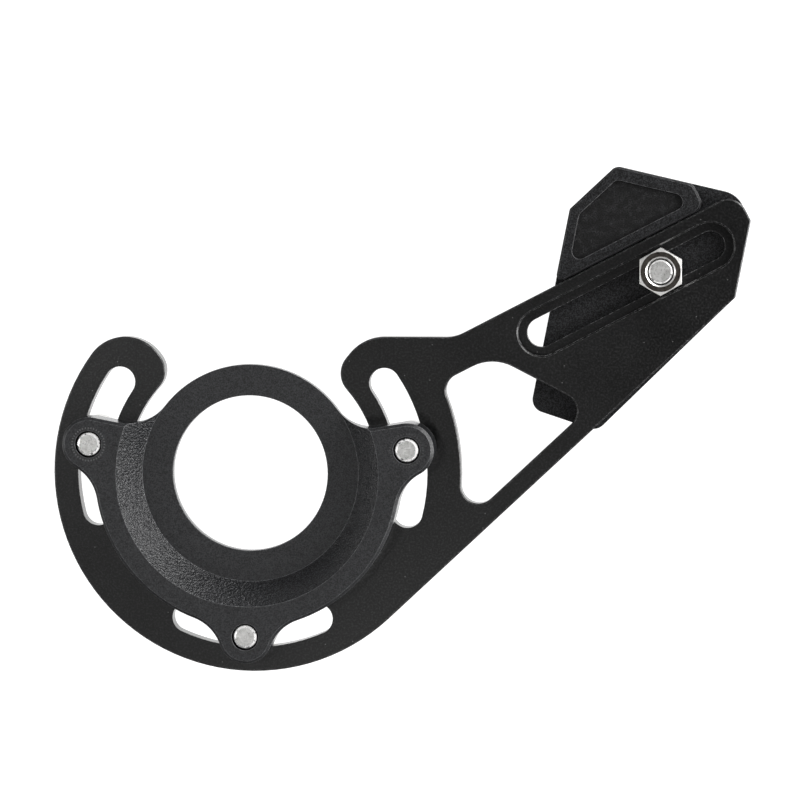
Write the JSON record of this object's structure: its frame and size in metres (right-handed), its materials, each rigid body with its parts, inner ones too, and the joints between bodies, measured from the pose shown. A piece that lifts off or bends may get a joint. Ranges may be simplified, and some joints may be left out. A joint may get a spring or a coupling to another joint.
{
  "type": "bicycle chain guide",
  "caption": "Bottom bracket mounted chain guide: a dished adapter ring, a slotted back plate that turns to set its clocking, and a chain cage that slides along the plate's arm.",
  "frame": {"origin": "on the bottom bracket's axis, at the plane where the adapter's seat meets the back plate's inboard face", "axes": "+Z along the bottom bracket's axis, inboard, towards the bicycle's frame; X and Y in the back plate, with the arm towards +X and +Y"},
  "size_m": [0.1583, 0.1151, 0.0379],
  "materials": {
    "blasted_black": "bead blasted, anodised black",
    "anodised_black": "satin, anodised black",
    "cage_plastic": "moulded nylon, fine texture",
    "bolt_steel": "zinc plated",
    "nut_steel": "zinc plated"
  },
  "bodies": {
    "mount": {"bb_adapter": "blasted_black", "mounting_bolts": "bolt_steel"},
    "plate": {"back_plate": "anodised_black"},
    "guide": {"guide_inner_half": "cage_plastic", "guide_outer_half": "cage_plastic", "guide_bolt": "bolt_steel", "guide_nut": "nut_steel", "guide_washer": "bolt_steel"}
  },
  "joints": [
    {"name": "plate_clock", "type": "hinge", "parent": "mount", "child": "plate", "pos_m": [0.00025, 0.00005, 0], "axis": [0, 0, 1], "range_deg": [-24.8, 23.4]},
    {"name": "guide_slide", "type": "slide", "parent": "plate", "child": "guide", "axis": [0.8878, 0.4602, 0], "range_m": [-0.022, 0.012]}
  ]
}
